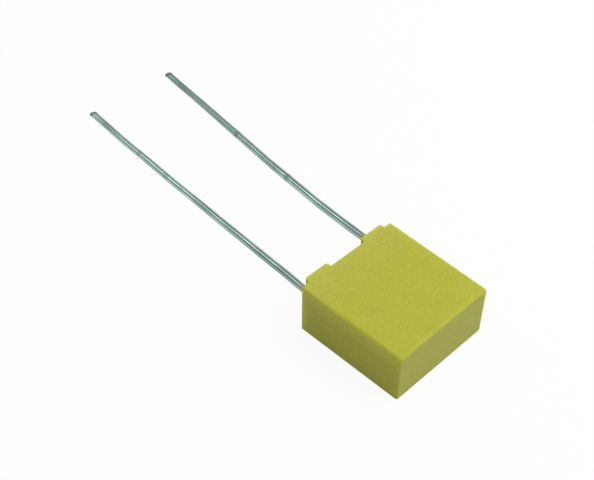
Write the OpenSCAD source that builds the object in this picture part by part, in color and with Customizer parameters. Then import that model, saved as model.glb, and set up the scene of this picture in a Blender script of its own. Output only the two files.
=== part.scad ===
// Box film capacitor: a moulded plastic cup with four stand-off feet, closed at one end and filled
// with resin, around a flat film winding whose two sprayed metal ends each carry a wire lead.
// It lies on one broad side. +Z is up, +Y points the way the leads leave, +X runs along the pitch.
// The origin is the middle of the broad side that it lies on. All lengths are millimetres.

/* [Case] */
// Thickness across the two broad sides, at the rim
case_w = 4.95; // [4.4:0.05:7]
// Height from the closed end to the rim
case_h = 9.9; // [8.5:0.1:14]
// Distance from a lead's centre to the outside of the case's narrow side, at the rim
lead_edge = 1.25; // [1.15:0.05:2]
// Wall of the two broad sides
side_wall = 0.7; // [0.4:0.05:0.9]
// Wall of the two narrow sides
end_wall = 0.6; // [0.3:0.05:0.65]
// Wall of the closed end
floor_t = 0.6; // [0.4:0.05:1.2]
// Draft of every side, in degrees
draft = 0.6; // [0.2:0.1:1]
// Radius of the outer edges
edge_r = 0.2; // [0.1:0.05:0.35]
// Radius of the inner corners
inner_r = 0.3; // [0.15:0.05:0.5]

/* [Feet] */
// Height of the feet above the rim
foot_h = 0.45; // [0.3:0.05:1]
// Length of each foot along the rim
foot_l = 2.4; // [1:0.1:2.8]
// Distance from a foot to the outside of the case's narrow side
foot_inset = 0.75; // [0.5:0.05:1]
// Radius of the feet's corners
foot_r = 0.25; // [0.1:0.05:0.28]

/* [Winding] */
// Resin between the winding and the walls beside it
winding_gap = 0.15; // [0.05:0.05:0.4]
// Resin between the winding and the closed end
base_gap = 0.3; // [0.1:0.05:1]
// Resin over the winding
resin_cover = 0.9; // [0.4:0.1:1.5]
// Thickness of the sprayed metal on each end of the winding
spray_t = 0.4; // [0.25:0.05:0.8]

/* [Resin] */
// Depth of the resin's surface below the rim
resin_depth = 0.3; // [0.1:0.05:0.6]
// Height that the resin climbs up each lead
collar_h = 0.3; // [0.1:0.05:0.5]
// Width of the resin's collar round each lead
collar_w = 0.25; // [0.1:0.05:0.3]

/* [Leads] */
// Lead pitch
pitch = 7.5; // [6:0.5:10]
// Wire diameter
lead_d = 0.6; // [0.5:0.1:0.8]
// Length of each lead beyond the feet, along the wire
lead_l = 30; // [24:0.5:35]
// Height of the leads above the middle of the thickness
lead_offset = 0.4; // [0:0.1:0.6]
// Length of wire welded along the winding's end
weld_l = 6; // [3:0.5:7]
// Depth that the wire is sunk into the sprayed metal
weld_depth = 0.15; // [0.05:0.05:0.2]
// Angle of each tip's cut across the pitch, in degrees, shorter at +X
tip_angle_x = 24; // [0:1:35]
// Angle of each tip's cut across the thickness, in degrees, shorter at the top
tip_angle_z = 26; // [0:1:35]

/* [Right lead's bends] */
// Straight length before the first bend, from the rim
right_start = 0.5; // [0.2:0.1:5]
// First bend, in degrees towards +X
right_first_angle = 5.5; // [0.5:0.5:20]
// Radius of the first bend
right_bend_r = 80; // [10:1:90]
// Straight length between the bends
right_middle = 4.4; // [1:0.1:8]
// Second bend, in degrees towards +X
right_last_angle = 1.3; // [0.5:0.1:4]
// Radius of the second bend
right_last_r = 80; // [10:1:120]

/* [Left lead's bends] */
// Straight length before the first bend, from the rim
left_start = 0.5; // [0.2:0.1:5]
// First bend, in degrees towards +X
left_first_angle = 2.7; // [0.5:0.1:20]
// Radius of the first bend
left_bend_r = 30; // [10:1:60]
// Straight length between the bends
left_middle = 19; // [1:0.5:20]
// Second bend, in degrees towards +X
left_last_angle = 0.8; // [0.5:0.1:4]
// Radius of the second bend
left_last_r = 60; // [10:1:80]

/* [Hidden] */
$fn = 64;
corner_fn = 24;                                        // facets round a moulded corner
clear = 1;                                             // how far a cutter runs past what it cuts
case_l = pitch + 2 * lead_edge;                        // along the pitch, at the rim
lead_r = lead_d / 2;
bead = 0.005;                                          // how far a joining bead stands proud of the wire
seam = 0.02;                                           // gap that a joining bead closes
tip_block = 4 * lead_d;                                // side of the block that cuts a tip off
collar_top = 0.03;                                     // width that the resin's collar ends at
floor_y = -case_h + floor_t;                           // inside of the closed end
spray_out = pitch / 2 - lead_r + weld_depth;           // outer face of the sprayed metal
winding_x = spray_out - spray_t;                       // half the width of the film
winding_y = floor_y + base_gap;                        // lowest point of the winding
winding_h = -resin_depth - resin_cover - winding_y;
winding_t = case_w - 2 * side_wall + 2 * floor_y * tan(draft) - 2 * winding_gap;
weld_y = winding_y + winding_h - weld_l;               // inner end of each wire

// Lays the upright capacitor on its drafted broad side
module laid() {
    translate([0, case_h / 2 / cos(draft) - case_w / 2 * sin(draft), case_w / 2 * cos(draft)])
        rotate([draft, 0, 0]) children();
}

// A ball with a corner of its facets at each end of each axis, so that a block's flats reach it
module ball(r) {
    rotate([90, 0, 0]) rotate_extrude($fn = corner_fn)
        polygon([for (a = [-90:360 / corner_fn:90]) r * [cos(a), sin(a)]]);
}

// A block with rounded edges that is l by w at the rim and narrows towards y = bottom,
// and which runs on past the feet
module drafted_block(l, w, bottom, r) {
    hull()
        for (side = [-1, 1], face = [-1, 1], y = [bottom + r, foot_h + clear])
            translate([side * (l / 2 + y * tan(draft) - r / cos(draft)), y,
                       face * (w / 2 + y * tan(draft) - r / cos(draft))])
                ball(r);
}

module cavity() {
    drafted_block(case_l - 2 * end_wall, case_w - 2 * side_wall, floor_y, inner_r);
}

// A foot's outline: a low plate with its two top corners rounded
module foot_outline() {
    translate([0, -clear]) square([foot_l, clear + foot_h - foot_r]);
    translate([foot_r, -clear]) square([foot_l - 2 * foot_r, clear + foot_h]);
    for (x = [foot_r, foot_l - foot_r])
        translate([x, foot_h - foot_r]) circle(r = foot_r);
}

// A slab that reaches past the whole case, from y = from to y = to
module slab(from, to) {
    translate([-case_l, from, -case_w]) cube([2 * case_l, to - from, 2 * case_w]);
}

// All that stands above the rim, apart from the feet
module above_rim() {
    difference() {
        slab(0, case_h);
        for (side = [0, 1])
            mirror([side, 0, 0])
                translate([case_l / 2 - foot_inset - foot_l, 0, 0])
                    linear_extrude(height = 2 * (case_w + clear), center = true) foot_outline();
    }
}

// The flattened roll's section, a long oval that starts at the closed end
module winding_section() {
    translate([winding_t / 2, -winding_t / 2]) square([winding_h - winding_t, winding_t]);
    for (x = [winding_t / 2, winding_h - winding_t / 2])
        translate([x, 0]) circle(d = winding_t);
}

// The winding's section carried from x = from to x = to
module wound(from, to) {
    translate([from, winding_y, 0]) rotate([90, 0, 90])
        linear_extrude(height = to - from) winding_section();
}

// A wire along +Y in steps [straight length, bend, bend radius], each bend turning towards +X.
// The last step is straight, and ends in a sloping cut through the middle of its tip.
module wire(steps, i = 0) {
    run = steps[i][0];
    bend = steps[i][1];
    radius = steps[i][2];
    if (i == len(steps) - 1) {
        difference() {
            rotate([-90, 0, 0]) cylinder(h = run + clear, r = lead_r);
            translate([0, run, 0]) rotate([tip_angle_z, 0, -tip_angle_x])
                translate([-tip_block / 2, 0, -tip_block / 2]) cube(tip_block);
        }
    } else {
        rotate([-90, 0, 0]) cylinder(h = run, r = lead_r);
        translate([0, run, 0]) {
            sphere(r = lead_r + bead);
            wire_bend(bend, radius);
            translate([radius * (1 - cos(bend)), radius * sin(bend), 0]) rotate([0, 0, -bend]) {
                sphere(r = lead_r + bead);
                wire(steps, i + 1);
            }
        }
    }
}

// One bend of the wire, a hair short at both ends, where a round bead joins it to the straights
module wire_bend(bend, radius) {
    trim = seam / radius * 180 / PI;
    translate([radius, 0, 0]) rotate([0, 0, 180 - bend + trim])
        rotate_extrude(angle = bend - 2 * trim) translate([radius, 0]) circle(r = lead_r);
}

// Length of wire in a bend
function arc(bend, radius) = radius * bend * PI / 180;

// A lead's steps from its welded end to its tip
function lead_steps(start, bend, bend_r, middle, last_bend, last_r) = [
    [start - weld_y, bend, bend_r],
    [middle, last_bend, last_r],
    [foot_h + lead_l - start - arc(bend, bend_r) - middle - arc(last_bend, last_r), 0, 0]
];

module left_wire() {
    translate([-pitch / 2, weld_y, lead_offset])
        wire(lead_steps(left_start, left_first_angle, left_bend_r,
                        left_middle, left_last_angle, left_last_r));
}

module right_wire() {
    translate([pitch / 2, weld_y, lead_offset])
        wire(lead_steps(right_start, right_first_angle, right_bend_r,
                        right_middle, right_last_angle, right_last_r));
}

// The cup, moulded in one piece with its feet
module case() {
    color([0.46, 0.46, 0.06]) laid()
        difference() {
            drafted_block(case_l, case_w, -case_h, edge_r);
            cavity();
            above_rim();
        }
}

// Cast resin that fills the case to just under the rim and climbs a little up each lead
module potting_resin() {
    color([0.42, 0.33, 0.08]) laid()
        difference() {
            intersection() {
                cavity();
                union() {
                    slab(-case_h, -resin_depth);
                    for (side = [-1, 1])
                        translate([side * pitch / 2, -resin_depth, lead_offset]) rotate([-90, 0, 0])
                            cylinder(h = collar_h, r1 = lead_r + collar_w, r2 = lead_r + collar_top);
                }
            }
            wound(-spray_out, spray_out);
            left_wire();
            right_wire();
        }
}

// The metallised film, wound and pressed flat, with its axis along the pitch
module film_winding() {
    color([0.75, 0.76, 0.78]) laid() wound(-winding_x, winding_x);
}

module end_spray_left() {
    color([0.55, 0.56, 0.58]) laid()
        difference() {
            wound(-spray_out, -winding_x);
            left_wire();
        }
}

module end_spray_right() {
    color([0.55, 0.56, 0.58]) laid()
        difference() {
            wound(winding_x, spray_out);
            right_wire();
        }
}

module lead_left() {
    color([0.5, 0.56, 0.54]) laid() left_wire();
}

module lead_right() {
    color([0.5, 0.56, 0.54]) laid() right_wire();
}

case();
potting_resin();
film_winding();
end_spray_left();
end_spray_right();
lead_left();
lead_right();
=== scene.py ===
import math
import bpy
import numpy as np
from mathutils import Matrix, Vector


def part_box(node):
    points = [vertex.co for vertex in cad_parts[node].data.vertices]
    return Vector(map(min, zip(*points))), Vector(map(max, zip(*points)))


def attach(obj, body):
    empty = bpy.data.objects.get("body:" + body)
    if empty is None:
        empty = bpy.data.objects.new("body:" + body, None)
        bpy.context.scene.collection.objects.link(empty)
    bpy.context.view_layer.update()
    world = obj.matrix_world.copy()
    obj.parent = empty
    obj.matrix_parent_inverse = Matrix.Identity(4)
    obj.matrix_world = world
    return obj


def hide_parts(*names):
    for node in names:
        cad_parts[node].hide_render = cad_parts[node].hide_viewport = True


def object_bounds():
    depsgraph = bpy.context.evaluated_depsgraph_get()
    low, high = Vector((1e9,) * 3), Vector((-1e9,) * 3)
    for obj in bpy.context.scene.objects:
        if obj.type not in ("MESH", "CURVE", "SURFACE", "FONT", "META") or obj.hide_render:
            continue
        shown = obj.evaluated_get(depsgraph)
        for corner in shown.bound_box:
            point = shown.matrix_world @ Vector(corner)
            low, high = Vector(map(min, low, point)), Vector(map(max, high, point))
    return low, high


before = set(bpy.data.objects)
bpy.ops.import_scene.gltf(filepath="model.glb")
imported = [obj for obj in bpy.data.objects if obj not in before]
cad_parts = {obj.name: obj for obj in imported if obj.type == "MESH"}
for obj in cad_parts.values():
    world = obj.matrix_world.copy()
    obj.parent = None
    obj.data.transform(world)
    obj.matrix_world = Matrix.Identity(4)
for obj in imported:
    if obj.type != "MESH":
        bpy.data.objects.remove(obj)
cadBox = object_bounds()                                   # the CAD model's own box
millimetre = 0.001


def say(stage):
    print("capacitor:", stage)


# The capacitor's own upright coordinates, in millimetres: x runs along the pitch, y from the closed end up
# to the rim at 0 and on along the wires, and z across the thickness, with 0 half way through

caseShape = {
    "draft": 0.6,              # degrees, every side
    "edge": 0.2,               # radius of the outer edges
    "sideWall": 0.7,           # the two broad sides
    "endWall": 0.6,            # the two narrow sides
    "floor": 0.6,              # the closed end
    "innerCorner": 0.2,
    "footHeight": 0.45,
    "footLength": 2.4,
    "footInset": 0.75,         # from a foot to the narrow side
    "footCorner": 0.25,
    "innerFillet": 0.08,       # where a foot runs into the rim, at its inner and its outer end
    "outerFillet": 0.18,
    "lip": 0.08,               # rounding along the rim and the feet
    "lipZone": 0.35,           # how far under the rim the plain walls end
    "cornerDrop": 0.12,        # how far the rim's upper left corner is rubbed down
    "dropStart": 0.7,          # where that starts, as a share of the way up to the corner, and how much
    "dropOver": 0.3,           # further up it is full
    "drawIn": 0.9,             # how much of the inner corner's first half the feet's outer ends take up
    "endTurn": 78,             # degrees that the round into the closed end turns before its flat
    "bendRows": 7,             # the mesh: points along each round of the feet and the closed end
    "lipRows": 5,
    "wallRows": 9,
    "cornerColumns": 6,
    "sideColumns": 9,          # over a narrow side
    "rimColumns": 14,          # along the rim, between the feet
}

draft = math.radians(caseShape["draft"])
draftCos, draftSin, draftSlope = math.cos(draft), math.sin(draft), math.tan(draft)
caseLow, caseHigh = (np.array(corner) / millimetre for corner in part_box("case"))
footTop = caseShape["footHeight"]
halfLength = (caseHigh[0] - caseLow[0]) / 2            # at the rim, as halfWidth is
halfWidth = (caseHigh[2] - caseLow[2] - 2 * footTop * draftSin) / draftCos / 2
caseDepth = 2 * draftCos * (caseHigh[1] - footTop * draftCos)
halfDepth = -caseLow[1]                                # from the frame's origin back to the closed end
floorY = caseShape["floor"] - caseDepth                # the inside of the closed end
endTurn = math.radians(caseShape["endTurn"])
lift = np.array([0.0, caseDepth / 2 / draftCos - halfWidth * draftSin, halfWidth * draftCos])


# Upright points turned by the draft about X and lifted, in metres, so that the lower broad side lies at 0
def laid(points):
    x, y, z = np.moveaxis(np.asarray(points, float), -1, 0)
    return (np.stack([x, y * draftCos - z * draftSin, y * draftSin + z * draftCos], -1) + lift) * millimetre


# The frame's points back in upright coordinates
def upright(points):
    x, y, z = np.moveaxis(np.asarray(points, float) / millimetre - lift, -1, 0)
    return np.stack([x, y * draftCos + z * draftSin, z * draftCos - y * draftSin], -1)


# Quads between neighbours in a table of point numbers, closed round its columns if asked
def quadsOf(numbers, closed=False):
    beside = np.roll(numbers, -1, axis=1)
    if not closed:
        numbers, beside = numbers[:, :-1], beside[:, :-1]
    return np.stack([numbers[:-1], beside[:-1], beside[1:], numbers[1:]], -1).reshape(-1, 4)


# The places on the border of an n x m table, once round: down, across, up and back
def borderOf(n, m):
    down, across = np.arange(n - 1), np.arange(m - 1)
    up, back = n - 1 - down, m - 1 - across
    row = np.concatenate([down, 0 * across + n - 1, up, 0 * back])
    column = np.concatenate([0 * down, across, 0 * up + m - 1, back])
    return row, column


# A closed skin: a sheet of n x m points at each end, joined by rings that follow the sheets' borders
def closedSkin(firstSheet, rings, lastSheet):
    n, m = firstSheet.shape[:2]
    first = np.arange(n * m).reshape(n, m)
    middle = n * m + np.arange(rings.shape[0] * rings.shape[1]).reshape(rings.shape[:2])
    last = n * m + middle.size + first
    border = borderOf(n, m)
    around = np.concatenate([first[border][None], middle, last[border][None]])
    quads = np.concatenate([quadsOf(first), quadsOf(around, closed=True), quadsOf(last)[:, ::-1]])
    points = np.concatenate([part.reshape(-1, 3) for part in (firstSheet, rings, lastSheet)])
    return points, [quads[:, ::-1]]


# A square, -2 to 2 both ways, bent to a rectangle with round corners: -1 to 1 is its straight part, and each
# corner square past that becomes a quarter disc
def bent(across, along, halfX, halfZ, corner):
    flatX, flatZ = np.clip(across, -1, 1), np.clip(along, -1, 1)
    overX, overZ = across - flatX, along - flatZ
    x = (halfX - corner) * flatX + corner * overX * np.sqrt(1 - overZ**2 / 2)
    z = (halfZ - corner) * flatZ + corner * overZ * np.sqrt(1 - overX**2 / 2)
    return x, z


# Points from their x, y and z, each of them numbers or tables
def stacked(x, y, z):
    return np.stack(np.broadcast_arrays(x, y, z), -1)


# Puts points and quads into a mesh object, smooth shaded with its big flats kept flat
def makePiece(name, points, faces, node, slot, material, values=None):
    mesh = bpy.data.meshes.new(name)
    mesh.from_pydata(laid(points).tolist(), [], [face for group in faces for face in group.tolist()])
    mesh.polygons.foreach_set("use_smooth", np.ones(len(mesh.polygons), bool))
    for label, value in (values or {}).items():
        attribute = mesh.attributes.new(label, "FLOAT_VECTOR", "POINT")
        attribute.data.foreach_set("vector", (value * millimetre).astype(np.float32).ravel())
    mesh.materials.append(material)
    mesh.update()
    piece = bpy.data.objects.new(name, mesh)
    bpy.context.scene.collection.objects.link(piece)
    flats = piece.modifiers.new("flats", "WEIGHTED_NORMAL")
    flats.keep_sharp = True
    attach(piece, "root")
    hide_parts(node)
    return piece


# A socket that can be used in sums: each operator adds a Math node
class Value:
    def __init__(self, paint, socket):
        self.paint, self.socket = paint, socket

    def math(self, operation, *terms):
        return self.paint.node("ShaderNodeMath", {"operation": operation}, dict(enumerate(terms)))

    def __add__(self, other):
        return self.math("ADD", self, other)

    def __sub__(self, other):
        return self.math("SUBTRACT", self, other)

    def __rsub__(self, other):
        return self.math("SUBTRACT", other, self)

    def __mul__(self, other):
        return self.math("MULTIPLY", self, other)

    def __abs__(self):
        return self.math("ABSOLUTE", self)

    def above(self, other):
        return self.math("MAXIMUM", self, other)

    def below(self, other):
        return self.math("MINIMUM", self, other)

    __radd__, __rmul__ = __add__, __mul__


# A material on the Principled shader
class Paint:
    def __init__(self, name):
        self.material = bpy.data.materials.new(name)
        self.material.use_nodes = True
        self.tree = self.material.node_tree
        self.shader = self.tree.nodes["Principled BSDF"]

    def put(self, socket, value):
        if isinstance(value, Value):
            self.tree.links.new(value.socket, socket)
        else:
            socket.default_value = value

    # A new node of that kind, with its settings and its sockets' values or links
    def node(self, kind, settings=None, sockets=None, output=0):
        made = self.tree.nodes.new(kind)
        for name, value in (settings or {}).items():
            setattr(made, name, value)
        for name, value in (sockets or {}).items():
            self.put(made.inputs[name], value)
        return Value(self, made.outputs[output])

    # The material, with these sockets of its shader set
    def surface(self, **sockets):
        for name, value in sockets.items():
            self.put(self.shader.inputs[name.replace("_", " ")], value)
        return self.material

    # Where a point is on its object, or on the straight wire
    def place(self, attribute=None):
        if attribute:
            return self.node("ShaderNodeAttribute", {"attribute_name": attribute}, output="Vector")
        return self.node("ShaderNodeTexCoord", output="Object")

    # Distance along one axis of a place, in millimetres
    def along(self, place, axis):
        return self.node("ShaderNodeSeparateXYZ", None, {"Vector": place}, output=axis) * (1 / millimetre)

    # Noise from about 0 to 1 with lumps of that size in millimetres, stretched along an axis if asked
    def noise(self, place, size, detail=2, stretch=(1, 1, 1), roughness=0.5):
        shrunk = tuple(1 / times for times in stretch)
        scaled = self.node("ShaderNodeMapping", None, {"Vector": place, "Scale": shrunk})
        sockets = {"Vector": scaled, "Scale": 1 / (size * millimetre), "Detail": detail}
        return self.node("ShaderNodeTexNoise", None, {**sockets, "Roughness": roughness})

    # 0 below low, 1 above high, and even between
    def rise(self, value, low, high):
        return self.node("ShaderNodeMapRange", None, {"Value": value, "From Min": low, "From Max": high})

    # The first colour where share is 0 and the second where it is 1: each is three numbers or a link, and
    # sockets 6 and 7 are the Mix node's two colours
    def mix(self, share, first, second):
        first, second = ((*colour, 1) if isinstance(colour, tuple) else colour for colour in (first, second))
        return self.node("ShaderNodeMix", {"data_type": "RGBA"}, {0: share, 6: first, 7: second}, output=2)

    def bump(self, height, distance):
        return self.node("ShaderNodeBump", None, {"Height": height, "Distance": distance * millimetre})


# Two patterns added up in the given shares
def blend(first, second, shares):
    return first * shares[0] + second * shares[1]


plasticLook = {
    "dark": (0.455, 0.46, 0.044),
    "pale": (0.565, 0.56, 0.062),
    "cloudSize": 2.2,
    "mottleSize": 0.24,
    "grainSize": 0.09,
    "toneShares": (0.2, 0.35, 0.45),  # what clouds, mottle and grain add to the tone
    "toneRange": (0.36, 0.64),
    "dust": (0.66, 0.67, 0.30),  # dust that greys the closed end and also paints a sheen on it, and painted light towards the rim
    "endDustAndSheenShare": 0.22,
    "dustAndLightMix": (0.2, 1.0, 0.6),  # even dust and painted light, and what grain and mottle add to it
    "endDustAndSheenReach": (4.88, 4.96),  # where it starts and is full, from the case's middle, in millimetres
    "endDustAndSheenRise": 0.05,          # how much further out it starts at the top of the closed end, and the heights
    "endDustAndSheenTop": (4.4, 4.8),     # between which that sets in
    "dustRough": 0.5,
    "rimPaintedLightShare": 0.12,          # painted light towards the rim, in the dust's colour but thinner
    "rimPaintedLightReach": (1.0, 5.2),
    "worn": (0.68, 0.67, 0.085),  # the colour of rubbing along the upper edges, partly a painted highlight, and of the painted light on the narrow sides
    "wornAndLitShare": 0.12,
    "wornAndLitWidth": 0.5,
    "wornAndLitHeight": (1.0, 4.6),  # heights between which the rubbing and its painted highlight set in
    "wornMix": (0.6, 0.8),     # even rubbing and painted light, and what mottle adds to it
    "sideShare": 0.9,          # painted light on the narrow sides, lighter towards their top and their rim
    "sideLow": 3.0,
    "sideRim": 4.0,
    "sideSkin": 0.08,          # how far under the narrow side it is full
    "smear": (0.66, 0.47, 0.055),  # a little resin on a foot's inner corner
    "smearShare": 0.55,
    "smearPlace": (2.05, 5.3, 4.95),
    "smearReach": (0.12, 0.36),  # distances from its middle between which it fades
    "smearRagged": 0.1,
    "roughness": 0.56,
    "grainRough": 0.25,
    "relief": 0.006,
    "reliefShares": (0.7, 0.3),
    "gloss": 0.2,
    "glow": 0.6,               # how much of the light that comes back has passed through the plastic
    "glowDepth": 0.8,          # how far it goes, in millimetres
    "glowColour": (1.0, 1.0, 0.35),
}


# Moulded plastic: cloudy, finely mottled, rubbed along its upper edges, where a painted highlight is laid
# too, with painted light on its narrow sides and towards the rim, and a thin dust on the closed end that
# also paints a sheen there.
# A point's distance from the edges is the second smallest of those from the three pairs of faces.
def casePlastic():
    look = plasticLook
    paint = Paint("case_plastic")
    place = paint.place()
    across, along, height = (paint.along(place, axis) for axis in "XYZ")
    cloud = paint.noise(place, look["cloudSize"])
    mottle = paint.noise(place, look["mottleSize"], detail=3)
    grain = paint.noise(place, look["grainSize"], detail=3, roughness=0.6)
    cloudShare, mottleShare, grainShare = look["toneShares"]
    tone = paint.rise(cloud * cloudShare + mottle * mottleShare + grain * grainShare, *look["toneRange"])

    # dust on the closed end, which also paints a sheen there
    endDustAndSheenTop = paint.rise(height, *look["endDustAndSheenTop"]) * look["endDustAndSheenRise"]
    closed = paint.rise(-1 * along - endDustAndSheenTop, *look["endDustAndSheenReach"])
    # painted light: the case a little lighter towards the rim, in the dust's colour
    paintedLightByRim = paint.rise(along, *look["rimPaintedLightReach"]) * look["rimPaintedLightShare"]
    even, grainy, mottled = look["dustAndLightMix"]
    dust = (closed * look["endDustAndSheenShare"] + paintedLightByRim) * (even + grain * grainy + mottle * mottled)

    fromSide, fromEnd = halfLength - abs(across), halfDepth - abs(along)
    fromTop = (caseHigh[2] - height).below(height)
    fromEdge = fromSide.above(fromEnd).below(fromSide.above(fromTop)).below(fromEnd.above(fromTop))
    # rubbing along the upper edges: partly wear, partly a painted highlight
    worn = (1 - paint.rise(fromEdge, 0, look["wornAndLitWidth"])) * paint.rise(height, *look["wornAndLitHeight"])
    # painted light: the narrow sides lighter towards their top and towards the rim
    towardsTop = paint.rise(height, look["sideLow"], caseHigh[2])
    towardsRim = paint.rise(along, look["sideRim"], halfDepth)
    onSide = paint.rise(abs(across), halfLength - caseShape["edge"], halfLength - look["sideSkin"])
    paintedSideLight = towardsTop.above(towardsRim) * onSide
    even, mottled = look["wornMix"]
    rubbedAndLit = (worn * look["wornAndLitShare"]).above(paintedSideLight * look["sideShare"]) * (1 - closed)
    plastic = paint.mix(tone, look["dark"], look["pale"])
    plastic = paint.mix(rubbedAndLit * (even + mottle * mottled), plastic, look["worn"])

    sockets = {0: place, 1: tuple(length * millimetre for length in look["smearPlace"])}
    fromSmear = paint.node("ShaderNodeVectorMath", {"operation": "DISTANCE"}, sockets, output="Value")
    pastSmear = paint.rise(fromSmear * (1 / millimetre) + mottle * look["smearRagged"], *look["smearReach"])
    plastic = paint.mix((1 - pastSmear) * look["smearShare"], plastic, look["smear"])
    return paint.surface(
        Base_Color=paint.mix(dust, plastic, look["dust"]),
        Roughness=look["roughness"] + dust * look["dustRough"] + (grain - 0.5) * look["grainRough"],
        Specular_IOR_Level=look["gloss"],
        Subsurface_Weight=look["glow"],
        Subsurface_Scale=look["glowDepth"] * millimetre,
        Subsurface_Radius=look["glowColour"],
        Normal=paint.bump(blend(grain, mottle, look["reliefShares"]), look["relief"]))


resinLook = {
    "deep": (0.30, 0.22, 0.035),
    "pale": (0.42, 0.35, 0.075),
    "flowSize": 1.4,
    "speckSize": 0.12,
    "shares": (0.8, 0.2),      # of the streaks and the specks, in the colour and in the skin's waves
    "toneRange": (0.35, 0.65),
    "roughness": 0.24,
    "speckRough": 0.2,
    "ripple": 0.025,
    "clear": 0.35,             # a thin clear skin over it
    "clearRoughness": 0.08,
}


# Cast resin: amber streaks, small specks and a wavy, glossy skin
def castResin():
    look = resinLook
    paint = Paint("potting_resin")
    place = paint.place()
    flow = paint.noise(place, look["flowSize"], detail=3)
    speck = paint.noise(place, look["speckSize"])
    mixed = blend(flow, speck, look["shares"])
    return paint.surface(
        Base_Color=paint.mix(paint.rise(mixed, *look["toneRange"]), look["deep"], look["pale"]),
        Roughness=look["roughness"] + (speck - 0.5) * look["speckRough"],
        Coat_Weight=look["clear"],
        Coat_Roughness=look["clearRoughness"],
        Normal=paint.bump(mixed, look["ripple"]))


wireLook = {
    "dull": (0.245, 0.35, 0.32),
    "bright": (0.43, 0.59, 0.55),
    "lineSize": 0.085,         # drawing lines across the wire, in millimetres
    "lineLength": 60,          # how many times longer than wide they run
    "patchSize": 1.2,
    "patchLength": 2,
    "fineSize": 0.05,
    "toneShares": (0.5, 0.5),  # of the lines and the patches
    "toneRange": (0.34, 0.62),
    "relief": 0.003,
    "reliefShares": (0.7, 0.3),
    "roughness": 0.19,
    "dullRough": 0.14,         # how much rougher the dull patches are
    "fineRough": 0.1,
    "edge": 0.85,              # how far the tin's edges, seen at a slant, keep their shine
    "stain": (0.46, 0.48, 0.09),  # a thin film of resin that crept out along the wire
    "stainShare": 0.75,
    "stainRough": 0.22,
    "stainReach": (6.15, 6.7),  # where it thins and ends, from the case's middle, in millimetres
    "stainRagged": 0.5,
    "clean": (0.34, 0.41, 0.50),  # fresh tin next to the resin
    "cleanShare": 0.6,
    "cleanReach": (6.6, 7.9),
    "cleanRagged": 0.8,
    "rightFurther": 0.7,       # how much further out both reach on the right wire
    "cut": (0.09, 0.115, 0.11),  # the cut tip and its burr
    "cutShare": 0.75,
    "cutBand": 0.6,
    "cutRough": 0.25,
    "aged": (24, 36),          # the outer ends are a little rougher: distances along the wire
    "agedRough": 0.13,
    "nicks": ((1, 25.8, 0.9), (1, 18.4, 0.9), (-1, 25.8, 0.6), (-1, 29.8, 0.5)),  # side, distance, depth
    "nickReach": (0.08, 0.4),  # half lengths of a nick's middle and of the whole
    "nickRough": 0.25,
    "tarnishSide": (2, 4),     # the right wire's outer part is duller: where that starts and is full
    "tarnishAlong": (17, 25),
    "tarnishShare": 0.58,
    "tarnishRough": 0.13,
    "paintedShadePlace": (0.15, 0.24),  # painted shade on the left wire's lower side near the case: how far to the left of its middle it starts and is full, and how far along it thins and ends
    "paintedShadeAlong": (10, 18),   # starts and is full, and how far along it thins and ends
}


# Tinned wire: long drawing lines, dull patches of oxide and a fine grain, all laid along the wire, with a
# painted shade on the left wire's lower side next to the case
def tinnedWire():
    look = wireLook
    paint = Paint("tinned_wire")
    place, spot = paint.place("wirePlace"), paint.place()
    lines = paint.noise(place, look["lineSize"], stretch=(1, look["lineLength"], 1))
    patch = paint.noise(place, look["patchSize"], detail=4, stretch=(1, look["patchLength"], 1))
    fine = paint.noise(place, look["fineSize"])
    plain = paint.rise(blend(lines, patch, look["toneShares"]), *look["toneRange"])
    side, beyond = (paint.along(spot, axis) for axis in "XY")
    outward, run = (paint.along(place, axis) for axis in "XY")
    right = paint.rise(side, -1, 1)
    root = beyond - right * look["rightFurther"]
    stain = (1 - paint.rise(root + patch * look["stainRagged"], *look["stainReach"])) * look["stainShare"]
    clean = (1 - paint.rise(root + patch * look["cleanRagged"], *look["cleanReach"])) * look["cleanShare"]
    cut = paint.rise(run, wireLength() - look["cutBand"], wireLength()) * look["cutShare"]
    aged = paint.rise(run, *look["aged"])
    tarnish = paint.rise(side, *look["tarnishSide"]) * paint.rise(beyond, *look["tarnishAlong"])
    # painted shade: the left wire's lower side darkened next to the case
    paintedShade = paint.rise(-1 * outward, *look["paintedShadePlace"]) * (1 - paint.rise(beyond, *look["paintedShadeAlong"]))
    paintedShade = paintedShade * (1 - right)
    nick = 0
    for sign, distance, depth in look["nicks"]:
        here = 1 - paint.rise(abs(run - distance), *look["nickReach"])
        nick = here * paint.rise(side * sign, 0, 0.1) * depth + nick
    tone = plain * (1 - tarnish * look["tarnishShare"]) * (1 - nick) * (1 - paintedShade)
    tin = paint.mix(tone, look["dull"], look["bright"])
    tin = paint.mix(cut, paint.mix(clean, tin, look["clean"]), look["cut"])
    rough = look["roughness"] + (1 - plain) * look["dullRough"] + (fine - 0.5) * look["fineRough"]
    marks = {"tarnish": tarnish, "aged": aged, "cut": cut, "nick": nick, "stain": stain}
    for name, amount in marks.items():
        rough = rough + amount * look[name + "Rough"]
    return paint.surface(
        Base_Color=paint.mix(stain, tin, look["stain"]),
        Metallic=1.0,
        Roughness=rough,
        Specular_Tint=(look["edge"], look["edge"], look["edge"], 1),
        Normal=paint.bump(blend(lines, fine, look["reliefShares"]), look["relief"]))


filmLook = {
    "dark": (0.62, 0.64, 0.68),
    "pale": (0.80, 0.81, 0.83),
    "turnSize": 0.04,
    "turnLength": 80,          # how many times longer than wide the marks of the turns run
    "cloudSize": 1.5,
    "toneShares": (0.6, 0.4),
    "toneRange": (0.35, 0.65),
    "metal": 0.9,
    "roughness": 0.22,
    "turnRough": 0.15,
    "relief": 0.003,
}


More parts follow.
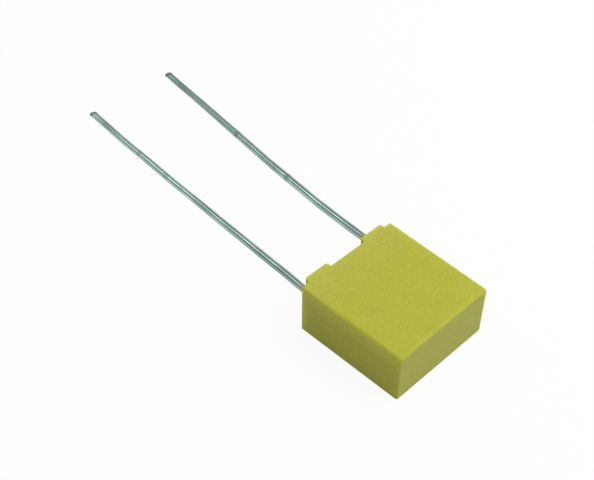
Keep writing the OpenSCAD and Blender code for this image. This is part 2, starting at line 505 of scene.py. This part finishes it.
# Metallised film: the edges of its turns as fine lines round the roll
def metallisedFilm():
    look = filmLook
    paint = Paint("metallised_film")
    place = paint.place()
    turns = paint.noise(place, look["turnSize"], stretch=(1, look["turnLength"], look["turnLength"]))
    cloud = paint.noise(place, look["cloudSize"])
    tone = paint.rise(blend(turns, cloud, look["toneShares"]), *look["toneRange"])
    return paint.surface(
        Base_Color=paint.mix(tone, look["dark"], look["pale"]),
        Metallic=look["metal"],
        Roughness=look["roughness"] + turns * look["turnRough"],
        Normal=paint.bump(turns, look["relief"]))


zincLook = {
    "dark": (0.33, 0.34, 0.36),
    "pale": (0.58, 0.59, 0.60),
    "gritSize": 0.08,
    "blotchSize": 0.6,
    "toneShares": (0.6, 0.4),
    "toneRange": (0.35, 0.65),
    "metal": 0.85,
    "roughness": 0.5,
    "gritRough": 0.4,
    "relief": 0.03,
}


# Sprayed zinc: dull grey grit
def sprayedZinc():
    look = zincLook
    paint = Paint("sprayed_zinc")
    place = paint.place()
    grit = paint.noise(place, look["gritSize"], detail=4, roughness=0.65)
    blotch = paint.noise(place, look["blotchSize"])
    tone = paint.rise(blend(grit, blotch, look["toneShares"]), *look["toneRange"])
    return paint.surface(
        Base_Color=paint.mix(tone, look["dark"], look["pale"]),
        Metallic=look["metal"],
        Roughness=look["roughness"] + (grit - 0.5) * look["gritRough"],
        Normal=paint.bump(grit, look["relief"]))


# The moulded case

# A foot over the rim, from its inner end to its outer end, as points (x, y) and their outward normals: a
# small hollow fillet, a round corner, another round corner and another fillet, with straights between
def footOutline():
    shape = caseShape
    innerFillet, outerFillet, corner = shape["innerFillet"], shape["outerFillet"], shape["footCorner"]
    outer = halfLength - shape["footInset"]
    inner = outer - shape["footLength"]
    bends = ((inner - innerFillet, innerFillet, innerFillet, -90, 0),
             (inner + corner, footTop - corner, corner, 180, 90),
             (outer - corner, footTop - corner, corner, 90, 0),
             (outer + outerFillet, outerFillet, outerFillet, 180, 270))
    points, normals = [], []
    for centreX, centreY, radius, start, stop in bends:
        angle = np.radians(np.linspace(start, stop, shape["bendRows"]))
        away = np.stack([np.cos(angle), np.sin(angle)], -1)
        points.append((centreX, centreY) + radius * away)
        normals.append(away if radius == corner else -away)
    return np.concatenate(points), np.concatenate(normals)


# Both feet of a broad side and the rim between them, as places (x, y), normals, and the x that each place
# has lower down, where the foot's steep ends are spread out evenly
def rimOutline():
    places, normals = footOutline()
    mirror = np.array([-1.0, 1.0])
    step = np.hypot(*np.diff(places, axis=0).T)
    travelled = np.concatenate([[0], np.cumsum(step)]) / step.sum()
    spread = places[0, 0] + travelled * (places[-1, 0] - places[0, 0])
    between = np.linspace(-places[0, 0], places[0, 0], caseShape["rimColumns"])[1:-1]
    flat = np.stack([between, np.zeros_like(between)], -1)
    return (np.concatenate([places[::-1] * mirror, flat, places]),
            np.concatenate([normals[::-1] * mirror, np.tile([0.0, 1.0], (len(flat), 1)), normals]),
            np.concatenate([-spread[::-1], between, spread]))


# The wall's section at height y, outside or inside, moved sunk into the wall: half sizes and corner radius
def wallAt(y, inside=False, sunk=0.0):
    if inside:
        return (halfLength - caseShape["endWall"] + y * draftSlope + sunk,
                halfWidth - caseShape["sideWall"] + y * draftSlope + sunk, caseShape["innerCorner"] + sunk)
    return (halfLength + y * draftSlope - sunk, halfWidth + y * draftSlope - sunk, caseShape["edge"] - sunk)


# A row of the wall at height y: its section there, bent round its corners
def wallRow(across, along, y, inside=False):
    x, z = bent(across, along, *wallAt(y, inside))
    return stacked(x, y, z)


# A row of the quarter round between the wall and a flat at height end: turn is 0 at the wall, and the round
# is stretched a little, so that it reaches the flat at endTurn, where its corners still have some radius
def endRow(across, along, end, turn, inside=False):
    halfX, halfZ, corner = wallAt(end + (caseShape["innerCorner"] if inside else caseShape["edge"]), inside)
    tight = corner * (1 - np.cos(turn))
    x, z = bent(across, along, halfX - tight, halfZ - tight, corner - tight)
    return stacked(x, end + corner * (1 - np.sin(turn) / math.sin(endTurn)), z)


# The cup as one skin: the closed end's outside, up the walls, over the rim and the feet with a quarter round
# on both sides of the wall, and down the inside to its floor
def moulding():
    shape = caseShape
    places, normals, spread = rimOutline()
    innerFlat = halfLength - shape["endWall"] - shape["innerCorner"]
    # past the inner flat the outline is drawn in, so that it ends within the first half of the inner corner
    halfTurn = shape["innerCorner"] / math.sqrt(2)
    drawnIn = shape["drawIn"] * halfTurn / (spread[-1] - innerFlat)
    past = np.maximum(np.abs(spread) - innerFlat, 0) * drawnIn / halfTurn
    outerShare = spread / (halfLength - shape["edge"])
    innerShare = np.clip(spread / innerFlat, -1, 1) + np.sign(spread) * past
    corners = shape["cornerColumns"]
    lowCorner, outerCorner = np.linspace(-2, -1, corners), np.linspace(1, 2, corners)
    innerCorner = np.linspace(innerShare[-1], 2, corners + 1)[1:]
    acrossOut = np.concatenate([-outerCorner[::-1], outerShare, outerCorner])
    acrossIn = np.concatenate([-innerCorner[::-1], innerShare, innerCorner])
    along = np.concatenate([lowCorner, np.linspace(-1, 1, shape["sideColumns"])[1:-1], outerCorner])
    row, column = borderOf(len(acrossOut), len(along))
    outline = row - len(outerCorner)                   # the place on the rim's outline, where there is one
    onOutline = (outline >= 0) & (outline < len(places)) & ((column == 0) | (column == len(along) - 1))
    outline = np.clip(outline, 0, len(places) - 1)
    ringOut, ringIn, ringAlong = acrossOut[row], acrossIn[row], along[column]
    nearCorner = np.clip((ringAlong - shape["dropStart"]) / shape["dropOver"], 0, 1)
    fallen = shape["cornerDrop"] * nearCorner**2 * (ringOut < 0)
    lipX, lipY = np.where(onOutline, places[outline].T, (0 * fallen, -fallen))
    normalX, normalY = np.where(onOutline[:, None], normals[outline], (0, 1)).T

    # a ring that is inset under the outline and sunk into the wall's face
    def lipRow(inset, sunk, inside):
        x, y = lipX - inset * normalX, lipY - inset * normalY
        if inside:
            x = x - np.sign(x) * np.maximum(np.abs(x) - innerFlat, 0) * (1 - drawnIn)
        halfX, halfZ, corner = wallAt(y, inside, sunk)
        plainX, plainZ = bent(ringIn if inside else ringOut, ringAlong, halfX, halfZ, corner)
        over = np.clip(np.abs(x) - (halfX - corner), 0, corner)
        faceZ = np.sign(ringAlong) * (halfZ - corner + np.sqrt(corner**2 - over**2))
        return stacked(np.where(onOutline, x, plainX), y, np.where(onOutline, faceZ, plainZ))

    lip = shape["lip"]
    quarter = np.radians(np.linspace(0, 90, shape["lipRows"]))
    outerLip = [lipRow(lip * (1 - math.sin(a)), lip * (1 - math.cos(a)), False) for a in quarter]
    innerLip = [lipRow(lip * (1 - math.sin(a)), lip * (1 - math.cos(a)), True) for a in quarter[::-1]]
    top = [outerLip[-1] * (1 - share) + innerLip[0] * share for share in (1 / 3, 2 / 3)]
    turns = np.linspace(endTurn, 0, shape["bendRows"])[1:]
    outerWall = np.linspace(shape["edge"] - caseDepth, -shape["lipZone"], shape["wallRows"])[1:]
    innerWall = np.linspace(-shape["lipZone"], floorY + shape["innerCorner"], shape["wallRows"])[:-1]
    rings = ([endRow(ringOut, ringAlong, -caseDepth, turn) for turn in turns]
             + [wallRow(ringOut, ringAlong, y) for y in outerWall] + outerLip + top + innerLip
             + [wallRow(ringIn, ringAlong, y, True) for y in innerWall]
             + [endRow(ringIn, ringAlong, floorY, turn, True) for turn in turns[::-1]])
    return closedSkin(endRow(acrossOut[:, None], along[None], -caseDepth, endTurn), np.stack(rings),
                      endRow(acrossIn[:, None], along[None], floorY, endTurn, True))


# The resin that fills the case

resinShape = {
    "below": 0.3,              # depth of its surface under the rim
    "wallRise": 0.09,          # how far it creeps up the walls, and how far from them that shows
    "wallReach": 0.13,
    "collarRise": 0.28,        # the same round each wire
    "collarReach": 0.1,
    "ripple": 0.012,           # height and size of its ripples, and how far from the walls they are full
    "rippleSize": 1.6,
    "rippleReach": 0.4,
    "rippleSeed": 3,
    "leadPlace": 3.75,         # the wires' centres, along the pitch and through the thickness
    "leadOffset": 0.4,
    "columns": (70, 34),       # the surface's mesh between its corners, closer round the wires
    "cornerColumns": 5,
    "bendRows": 6,
    "wallRows": 9,
    "topRow": 0.1,             # from the last plain row up to the surface
}


# Waves in random directions added up, from about -1 to 1, with lumps of that size
def lumps(points, size, seed, count=24):
    drawn = np.random.default_rng(seed)
    waves = drawn.normal(size=(count, 3)) * 2 / size
    return np.sin(points @ waves.T + drawn.uniform(0, 2 * np.pi, count)).sum(-1) / math.sqrt(count)


# Places from low to high that lie closer together near each centre: even steps along the running sum of a
# density that has a bell curve at every centre
def crowded(low, high, centres, count, reach=0.5, crowding=6.0, samples=2001):
    fine = np.linspace(low, high, samples)
    density = 1 + crowding * sum(np.exp(-((fine - centre) / reach) ** 2) for centre in centres)
    travelled = np.concatenate([[0], np.cumsum((density[1:] + density[:-1]) / 2)])
    return np.interp(np.linspace(0, travelled[-1], count), travelled, fine)


# The resin's surface over a place (x, z): level, with a meniscus that falls away exponentially from the
# walls and from each wire, and a ripple that grows with the distance from the walls
def resinTop(x, z):
    shape = resinShape
    halfX, halfZ, corner = wallAt(-shape["below"], True)
    overX, overZ = np.abs(x) - halfX + corner, np.abs(z) - halfZ + corner
    inCorner = np.hypot(np.maximum(overX, 0), np.maximum(overZ, 0))
    fromWall = corner - inCorner - np.minimum(np.maximum(overX, overZ), 0)
    height = shape["wallRise"] * np.exp(-np.maximum(fromWall, 0) / shape["wallReach"])
    for side in (-1, 1):
        fromLead = np.hypot(x - side * shape["leadPlace"], z - shape["leadOffset"]) - leadShape["radius"]
        collar = shape["collarRise"] * np.exp(-np.maximum(fromLead, 0) / shape["collarReach"])
        height = np.maximum(height, collar)
    ripple = shape["ripple"] * lumps(stacked(x, 0 * x, z), shape["rippleSize"], shape["rippleSeed"])
    return height + ripple * np.clip(fromWall / shape["rippleReach"], 0, 1) - shape["below"]


# A node's oval from its box, upright: its centre, half its width, half its length along y and its radius
def ovalOf(node):
    low, high = (np.array(corner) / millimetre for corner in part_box(node))
    sizeX, sizeY, sizeZ = high - low
    straight = (sizeY - sizeZ) / (draftCos - draftSin)
    radius = (sizeZ - straight * draftSin) / 2
    return upright((low + high) / 2 * millimetre), sizeX / 2, straight / 2 + radius, radius


# An oval carried along x: its section is a flat length with a half circle at each end, and raised says how
# far each ring's points move outwards
def ovalSkin(centre, halfX, halfY, radius, columns=40, turns=8, rows=24, raised=None):
    lowTurn, highTurn = np.linspace(-2, -1, turns), np.linspace(1, 2, turns)
    across = np.concatenate([lowTurn, np.linspace(-1, 1, columns)[1:-1], highTurn])
    along = np.concatenate([lowTurn, highTurn[1:]])
    row, column = borderOf(len(across), len(along))
    ringY, ringZ = bent(across[row], along[column], halfY, radius, radius)
    sheetY, sheetZ = bent(across[:, None], along[None], halfY, radius, radius)
    places = np.linspace(halfX, -halfX, rows)[1:-1, None]
    rings = stacked(places, ringY, ringZ)
    if raised:
        away = stacked(0 * places, ringY - np.clip(ringY, radius - halfY, halfY - radius), ringZ)
        rings = rings + raised(rings)[..., None] * away / radius
    firstSheet, lastSheet = (stacked(x, sheetY, sheetZ) + centre for x in (halfX, -halfX))
    return closedSkin(firstSheet, rings + centre, lastSheet)


# A block up the case's inner walls to the resin's surface, with the winding's room as a second skin inside
def castFilling():
    shape = resinShape
    halfX, halfZ, radius = wallAt(-shape["below"], True)
    flatX, flatZ = halfX - radius, halfZ - radius
    corner = np.linspace(1, 2, shape["cornerColumns"])
    leads = (-shape["leadPlace"], shape["leadPlace"])
    acrossFlat = crowded(-flatX, flatX, leads, shape["columns"][0]) / flatX
    alongFlat = crowded(-flatZ, flatZ, (shape["leadOffset"],), shape["columns"][1]) / flatZ
    across = np.concatenate([-corner[::-1], acrossFlat[1:-1], corner])
    along = np.concatenate([-corner[::-1], alongFlat[1:-1], corner])
    row, column = borderOf(len(across), len(along))
    ringAcross, ringAlong = across[row], along[column]
    x, z = bent(across[:, None], along[None], halfX, halfZ, radius)
    surface = stacked(x, resinTop(x, z), z)
    turns = np.linspace(endTurn, 0, shape["bendRows"])[1:-1]
    lowestRow, topRow = floorY + caseShape["innerCorner"], -shape["below"] - shape["topRow"]
    heights = np.linspace(lowestRow, topRow, shape["wallRows"])
    rings = ([endRow(ringAcross, ringAlong, floorY, turn, True) for turn in turns]
             + [wallRow(ringAcross, ringAlong, y, True) for y in heights])
    lowest = endRow(across[:, None], along[None], floorY, endTurn, True)
    block, blockFaces = closedSkin(lowest, np.stack(rings), surface)
    centre, halfX, halfY, radius = ovalOf("film_winding")
    hollowX = halfX + 2 * ovalOf("end_spray_left")[1]
    hollow, hollowFaces = ovalSkin(centre, hollowX, halfY, radius)
    return np.concatenate([block, hollow]), blockFaces + [hollowFaces[0][:, ::-1] + len(block)]


# The two wires

leadShape = {
    "radius": 0.3,
    "beyondFeet": 29.8,        # length of wire past the feet
    "welded": 6.0,             # length of wire along the winding's end
    "cutAcross": 21,           # degrees that each tip's cut leans, along the pitch and through the thickness
    "cutThrough": 23,
    "waver": 0.012,            # how far the wire strays from its line, and the lengths of its waves
    "waveLength": (6, 16),
    "waverFrom": (1.5, 4),     # where that starts, along Y, and how much further on it is full
    "waverEnd": 3,             # length over which it ends at the tip
    "kinkRings": 12,           # how many rings each way a kink is spread over
    "swell": 0.005,            # unevenness of its tin, and the size of its lumps
    "swellSize": 0.9,
    "swellSeed": 20,
    "burr": 0.015,             # how far the cutter spread the tip
    "softEdge": 0.12,          # rounding of the tip's edge, as a share of the radius
    "leanLength": 1.2,         # length over which the rings lean over to the cut
    "ringGap": 0.12,
    "sides": 40,
    "edgeRows": 5,             # the mesh of the tip's rounded edge and of both ends' flats
    "flatRows": 7,
}
leadRoutes = {                 # side, straight from the rim, then each bend: degrees, radius, next straight
    "lead_left": (-1, 0.5, (2.7, 30, 19), (0.8, 60, 0)),
    "lead_right": (1, 0.5, (5.5, 80, 4.4), (1.3, 80, 0)),
}
leadKinks = {                  # the left wire's small strays towards +X: distances along Y, and sizes
    -1: ((0, 2, 7, 10, 18, 24, 27, 30), (0, 0.06, 0.03, -0.035, -0.02, -0.07, -0.03, 0)),
}
leadTin = {                    # extra tin near the case, and where it starts, is full, thins and ends
    -1: (0.016, (1, 3, 4, 14)),
    1: (0.042, (1, 3, 8, 26)),
}


# Where both wires start, along y: their welded length below the winding's upper end
def weldStart():
    centre, _, halfY, _ = ovalOf("film_winding")
    return centre[1] + halfY - leadShape["welded"]


# How far each wire runs from its welded end to its cut
def wireLength():
    return footTop + leadShape["beyondFeet"] - weldStart() - leadShape["softEdge"] * leadShape["radius"]


# The wire's centre line: its heading holds on the straights and turns evenly in the bends, and the line is
# the running sum of short steps along the heading. Slow sine waves and the kinks are added to it.
def leadLine(side, start, firstBend, lastBend, seed):
    shape = leadShape
    total = wireLength()
    arcs = [math.radians(bend) * radius for bend, radius, _ in (firstBend, lastBend)]
    knots = np.cumsum([0, start - weldStart(), arcs[0], firstBend[2], arcs[1]])
    turned = [0, 0, firstBend[0], firstBend[0], firstBend[0] + lastBend[0]]
    travelled = np.linspace(0, total, int(total / shape["ringGap"]))
    heading = np.radians(np.interp(travelled, knots, turned))
    step = np.diff(travelled)
    middle = (heading[1:] + heading[:-1]) / 2
    x = side * resinShape["leadPlace"] + np.concatenate([[0], np.cumsum(np.sin(middle) * step)])
    y = weldStart() + np.concatenate([[0], np.cumsum(np.cos(middle) * step)])

    waverStart, waverGrowth = shape["waverFrom"]
    growing = np.clip((y - waverStart) / waverGrowth, 0, 1)
    free = growing * np.clip((total - travelled) / shape["waverEnd"], 0, 1)
    drawn = np.random.default_rng(seed)
    lengths, phases = drawn.uniform(*shape["waveLength"], 4), drawn.uniform(0, 2 * np.pi, 4)
    waves = 2 * np.pi * travelled[:, None] / lengths + phases
    swing = np.stack([np.sin(waves[:, :2]).sum(-1), np.sin(waves[:, 2:]).sum(-1)], -1)
    stray = shape["waver"] * free[:, None] * swing
    kink = 0 * y
    if side in leadKinks:
        spread = shape["kinkRings"]
        bell = np.hanning(2 * spread + 3)
        kink = np.pad(np.interp(y, *leadKinks[side]), spread, "edge")
        kink = np.convolve(kink, bell[1:-1] / bell.sum(), "valid")
    return travelled, heading, x + stray[:, 0] + kink, y, resinShape["leadOffset"] + stray[:, 1]


# A round wire along its line: each ring stands square to the line and leans over to the sloping cut near the
# tip, and at both ends further rings shrink to a point. Each point's place on the straight wire is kept too.
def drawnWire(route, seed):
    shape = leadShape
    radius, soft = shape["radius"], shape["softEdge"]
    travelled, heading, x, y, z = leadLine(*route, seed)
    turn = np.radians(np.linspace(0, 90, shape["edgeRows"]))[1:]
    flat = (1 - soft) * np.linspace(1, 0, shape["flatRows"])[1:-1]
    count, before, after = len(travelled), len(flat) + 1, len(turn) + len(flat)
    # each ring's place in the line, its size, and how far it stands ahead of that place
    station = np.concatenate([np.zeros(before, int), np.arange(count), np.full(after, count - 1)])
    size = np.concatenate([flat[::-1], [1 - soft], np.ones(count), 1 - soft * (1 - np.cos(turn)), flat])
    rounding = soft * radius
    ahead = np.concatenate([np.zeros(before + count), rounding * np.sin(turn), np.full(len(flat), rounding)])

    angle = np.linspace(0, 2 * np.pi, shape["sides"] + 1)[:-1]
    place = stacked(radius * np.cos(angle), travelled[station][:, None], radius * np.sin(angle))
    lean = np.clip((travelled[station] - travelled[-1]) / shape["leanLength"] + 1, 0, 1)[:, None]
    tin, tinReach = leadTin[route[0]]
    tin = tin * np.interp(y[station], tinReach, (0, 1, 1, 0))[:, None]
    uneven = shape["swell"] * lumps(place, shape["swellSize"], seed + shape["swellSeed"])
    reach = size[:, None] * (radius + uneven + tin + shape["burr"] * lean**4)
    across, through = math.radians(shape["cutAcross"]), math.radians(shape["cutThrough"])
    slope = math.tan(across) * np.cos(angle) + math.tan(through) / math.cos(across) * np.sin(angle)
    forward = ahead[:, None] - lean**2 * (3 - 2 * lean) * reach * slope
    cosine, sine = np.cos(heading[station])[:, None], np.sin(heading[station])[:, None]
    rings = stacked(x[station][:, None] + reach * np.cos(angle) * cosine + forward * sine,
                    y[station][:, None] - reach * np.cos(angle) * sine + forward * cosine,
                    z[station][:, None] + reach * np.sin(angle))

    numbers = np.arange(rings[..., 0].size).reshape(rings.shape[:2])
    tipX, tipY = x[-1] + rounding * math.sin(heading[-1]), y[-1] + rounding * math.cos(heading[-1])
    points = np.concatenate([rings.reshape(-1, 3), [[x[0], y[0], z[0]], [tipX, tipY, z[-1]]]])
    places = np.concatenate([place.reshape(-1, 3), [[0, 0, 0], [0, travelled[-1], 0]]])
    beside = np.roll(numbers, -1, axis=1)
    fans = [stacked(numbers.size, numbers[0], beside[0]), stacked(numbers.size + 1, beside[-1], numbers[-1])]
    return points, [quadsOf(numbers, closed=True)[:, ::-1], *fans], places


# What is inside the resin

windingShape = {
    "pull": 0.02,              # unevenness of the wound film, in millimetres
    "foldSize": 2.5,
    "foldAlong": 0.4,          # below 1, the folds run longer along the roll
    "foldSeed": 5,
    "turnGap": 0.5,
    "turnHeight": 0.006,
    "rows": 70,
}
sprayShape = {
    "grit": 0.03,              # depth and size of the pits in the sprayed faces, in millimetres
    "gritSize": 0.25,
    "gritSeed": 9,
    "plain": 0.5,              # share of the thickness that has none
    "mesh": {"columns": 60, "turns": 14, "rows": 8},
}


# The winding: an oval pressed in by broad random folds and by a sine wave along the roll
def woundFilm():
    shape = windingShape

    def raised(rings):
        folds = lumps(rings * (shape["foldAlong"], 1, 1), shape["foldSize"], shape["foldSeed"])
        turns = shape["turnHeight"] * np.sin(2 * np.pi * rings[..., 0] / shape["turnGap"])
        return np.minimum(shape["pull"] * folds + turns, shape["pull"]) - shape["pull"]

    return ovalSkin(*ovalOf("film_winding"), rows=shape["rows"], raised=raised)


# A sprayed end: an oval whose points are drawn in towards its centre by random pits, the more the nearer
# they are to either face
def sprayedEnd(node):
    shape = sprayShape
    centre, halfX, halfY, radius = ovalOf(node)
    points, faces = ovalSkin(centre, halfX, halfY, radius, **shape["mesh"])
    offCentre = np.abs(points[:, :1] - centre[0])
    inward = np.clip((offCentre - shape["plain"] * halfX) / halfX, 0, 1) * (centre - points) / radius
    pits = np.maximum(1 + lumps(points, shape["gritSize"], shape["gritSeed"]), 0)
    return points + shape["grit"] * pits[:, None] * inward, faces


# Takes the wires' room out of a piece, before its flats are set
def cutForWires(piece, wires):
    for wire in wires:
        cut = piece.modifiers.new("room for a wire", "BOOLEAN")
        cut.operation, cut.solver, cut.object = "DIFFERENCE", "EXACT", wire
        piece.modifiers.move(len(piece.modifiers) - 1, 0)


say("case")
makePiece("moulded_case", *moulding(), "case", "case_plastic", casePlastic())
say("leads")
tin = tinnedWire()
wires = []
for seed, (node, route) in enumerate(leadRoutes.items()):
    points, faces, places = drawnWire(route, seed)
    name = node.replace("lead", "wire")
    wires.append(makePiece(name, points, faces, node, "tinned_wire", tin, {"wirePlace": places}))
say("resin")
cutForWires(makePiece("cast_resin", *castFilling(), "potting_resin", "potting_resin", castResin()), wires)
say("winding")
makePiece("wound_film", *woundFilm(), "film_winding", "metallised_film", metallisedFilm())
zinc = sprayedZinc()
for node, wire in zip(("end_spray_left", "end_spray_right"), wires):
    name = node.replace("end_spray", "sprayed_end")
    cutForWires(makePiece(name, *sprayedEnd(node), node, "sprayed_zinc", zinc), [wire])


cameraView = {
    "azimuth": 44.12,          # degrees: 0 looks along +Y, and 90 along +X
    "elevation": 44.45,
    "aim": (0.046, 10.57, 2.4),
    "distance": 86.5,
    "lens": 63.94,
    "sensor": 36.0,
    "nearest": 0.001,          # in metres
    "lean": -0.37,             # degrees that the camera is turned about its own line of sight
}

# Each lamp's direction from the capacitor, distance, width and height in metres, and power in watts
lamps = {
    "key": ((0.45, -0.35, 0.82), 0.2, 0.155, 0.155, 0.278),
    "strip": ((-0.18, 0.60, 0.78), 0.45, 0.16, 0.27, 0.27),
    "rear": ((0.62, 0.60, 0.40), 0.45, 0.45, 0.30, 0.13),
}

room = {
    "world": 0.30,
    "floorBounce": 0.66,       # what the floor gives back to the object's sides
    "floorColour": 0.97,
    "whiteShare": 0.93,        # how far the floor is lit as plain white where it is seen
    "gap": 2e-5,               # from the capacitor down to the floor, in metres
    "radius": 0.5,
    "flatRadius": 0.3,
    "rim": 18,                 # degrees that the backdrop rises to, seen from the object
    "rings": 24,               # in the flat, and once more in the curve
    "sides": 96,
}


# Turns a camera or lamp to face forward, and about its line of sight
def pointAt(thing, forward, lean=0.0):
    thing.rotation_mode = "QUATERNION"
    turn = forward.to_track_quat("-Z", "Y").to_matrix() @ Matrix.Rotation(math.radians(lean), 3, "Z")
    thing.rotation_quaternion = turn.to_quaternion()


# The camera stands back from its aim, against the heading that its azimuth and elevation give
def makeCamera():
    view = cameraView
    azimuth, elevation = math.radians(view["azimuth"]), math.radians(view["elevation"])
    level = math.cos(elevation)
    forward = Vector((math.sin(azimuth) * level, math.cos(azimuth) * level, -math.sin(elevation)))
    data = bpy.data.cameras.new("camera")
    data.lens, data.sensor_width, data.clip_start = view["lens"], view["sensor"], view["nearest"]
    camera = bpy.data.objects.new("camera", data)
    bpy.context.scene.collection.objects.link(camera)
    camera.location = (Vector(view["aim"]) - forward * view["distance"]) * millimetre
    pointAt(camera, forward, view["lean"])
    bpy.context.scene.camera = camera


# Soft oblong lamps, each turned to the capacitor's middle
def makeLamps():
    middle = (cadBox[0] + cadBox[1]) / 2
    for name, (direction, distance, width, height, power) in lamps.items():
        data = bpy.data.lights.new(name, "AREA")
        data.shape, data.size, data.size_y, data.energy = "RECTANGLE", width, height, power
        lamp = bpy.data.objects.new(name, data)
        bpy.context.scene.collection.objects.link(lamp)
        direction = Vector(direction).normalized()
        lamp.location = middle + direction * distance
        pointAt(lamp, -direction)


# The floor lights the capacitor as a dull white, and shows itself as an almost plain white
def floorWhite():
    paint = Paint("floor")
    rays = ("Is Camera Ray", "Is Glossy Ray", "Is Transmission Ray")
    camera, glossy, passing = (paint.node("ShaderNodeLightPath", output=ray) for ray in rays)
    bounce, pale = (paint.node("ShaderNodeBsdfDiffuse", None, {"Color": (shade, shade, shade, 1)})
                    for shade in (room["floorBounce"], room["floorColour"]))
    white = paint.node("ShaderNodeEmission", None, {"Color": (1, 1, 1, 1), "Strength": 1.0})
    shown = paint.node("ShaderNodeMixShader", None, {0: room["whiteShare"], 1: pale, 2: white})
    mixed = paint.node("ShaderNodeMixShader", None, {0: camera + glossy + passing, 1: bounce, 2: shown})
    paint.put(paint.tree.nodes["Material Output"].inputs["Surface"], mixed)
    paint.tree.nodes.remove(paint.shader)
    return paint.material


# A flat disc that curves up at its edge as a parabola: a profile's radius and height carried round a circle
def makeStage():
    share = np.linspace(0, 1, room["rings"])
    flat = room["flatRadius"]
    radius = np.concatenate([flat * share, flat + (room["radius"] - flat) * share[1:]])[1:, None]
    rimHeight = room["radius"] * math.tan(math.radians(room["rim"]))
    height = np.concatenate([0 * share, rimHeight * share[1:]**2])
    angle = np.linspace(0, 2 * math.pi, room["sides"] + 1)[:-1]
    points = stacked(radius * np.cos(angle), radius * np.sin(angle), height[1:, None] - room["gap"])
    numbers = np.arange(points.shape[0] * points.shape[1]).reshape(points.shape[:2])
    faces = quadsOf(numbers, closed=True)[:, ::-1].tolist() + [numbers[0].tolist()]
    mesh = bpy.data.meshes.new("floor")
    mesh.from_pydata(points.reshape(-1, 3).tolist(), [], faces)
    mesh.polygons.foreach_set("use_smooth", np.ones(len(mesh.polygons), bool))
    mesh.materials.append(floorWhite())
    floor = bpy.data.objects.new("floor", mesh)
    bpy.context.scene.collection.objects.link(floor)


def makeWorld():
    world = bpy.data.worlds.new("studio")
    bpy.context.scene.world = world
    world.use_nodes = True
    shade = room["world"]
    world.node_tree.nodes["Background"].inputs["Color"].default_value = (shade, shade, shade, 1)


say("camera and room")
makeCamera()
makeLamps()
makeStage()
makeWorld()
bpy.context.scene.view_settings.view_transform = "Standard"
